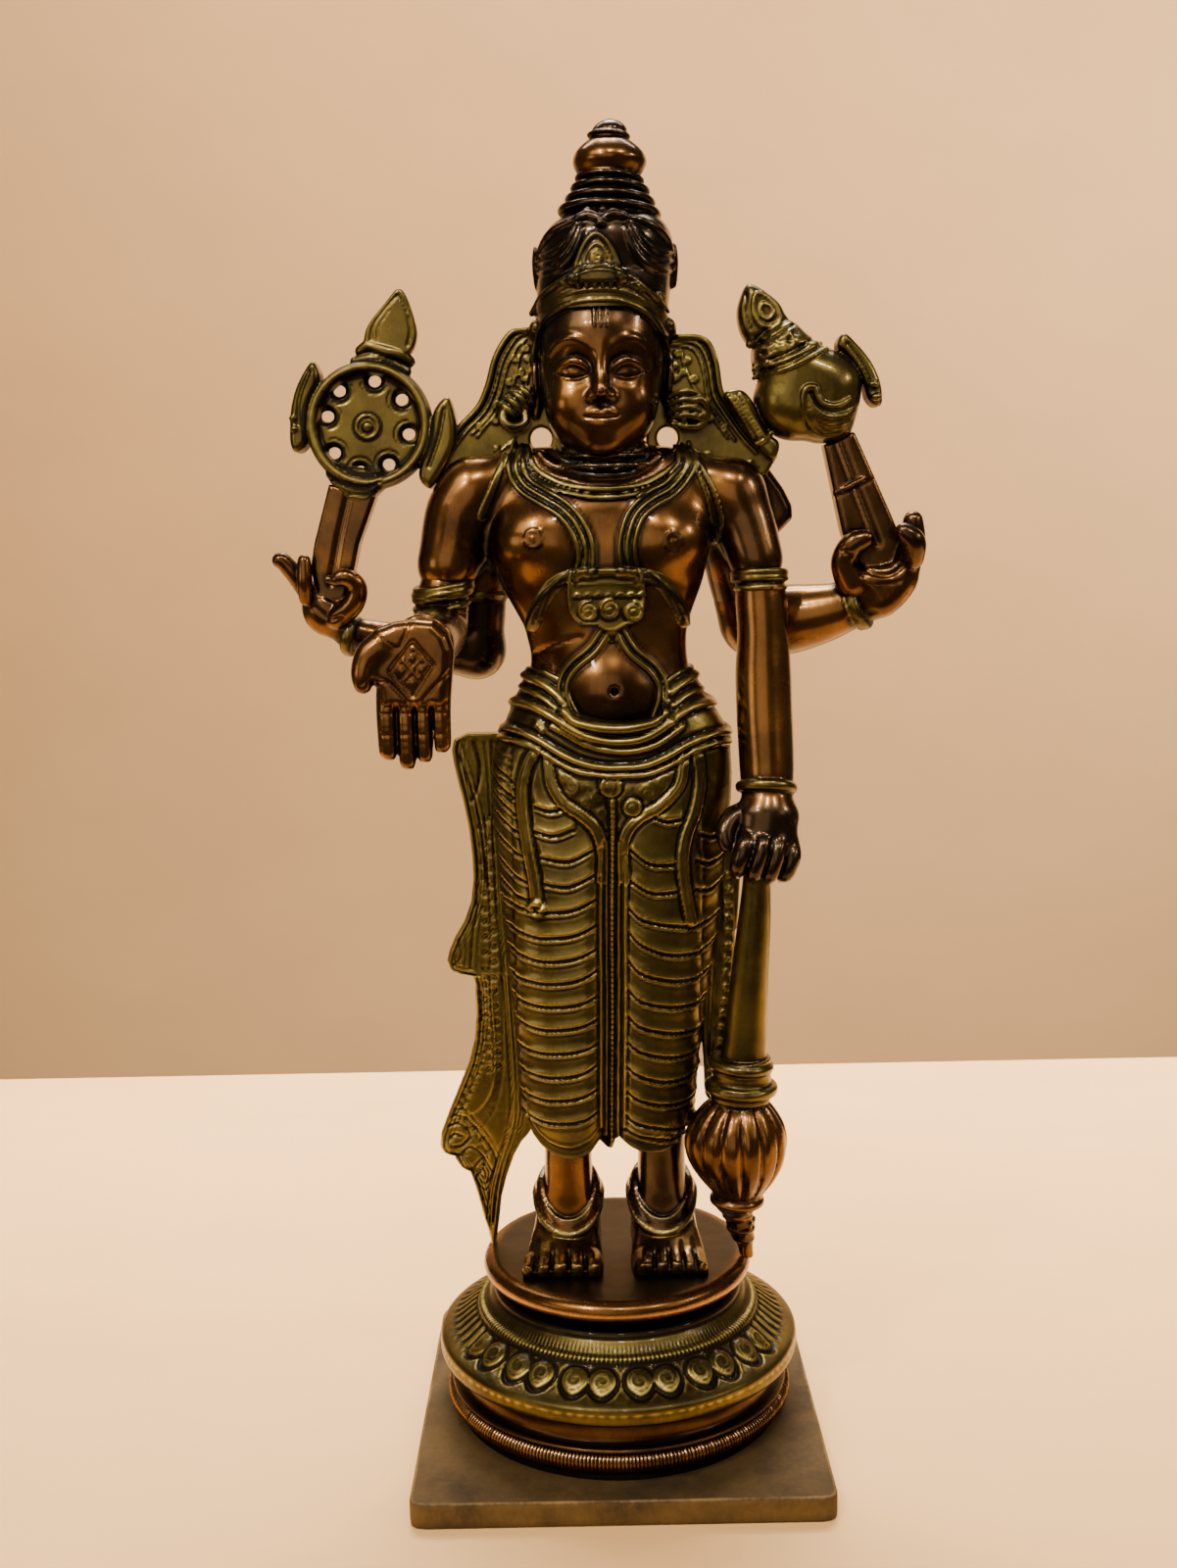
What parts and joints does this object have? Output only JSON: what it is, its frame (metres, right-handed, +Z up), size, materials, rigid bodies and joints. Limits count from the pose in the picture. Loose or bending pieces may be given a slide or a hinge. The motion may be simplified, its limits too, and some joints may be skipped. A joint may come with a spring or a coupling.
{
  "type": "vishnu figure on lotus plinth",
  "caption": "Standing multi-armed temple figure cast in two-tone metal, on a round lotus pedestal with a square plate; a table or shrine statue.",
  "frame": {"origin": "middle of the square plate's underside", "axes": "+Z up the figure, -Y the way the figure faces, +X to the viewer's right"},
  "size_m": [0.2249, 0.142, 0.46],
  "materials": {
    "patinated_brass": "olive-gold cast brass, dark patina in the recesses and worn bright on the ridges",
    "patinated_copper": "copper-coloured cast metal, polished over a dark brown patina"
  },
  "bodies": {
    "root": {"plinth": "patinated_brass", "figure": "patinated_copper"}
  },
  "joints": []
}
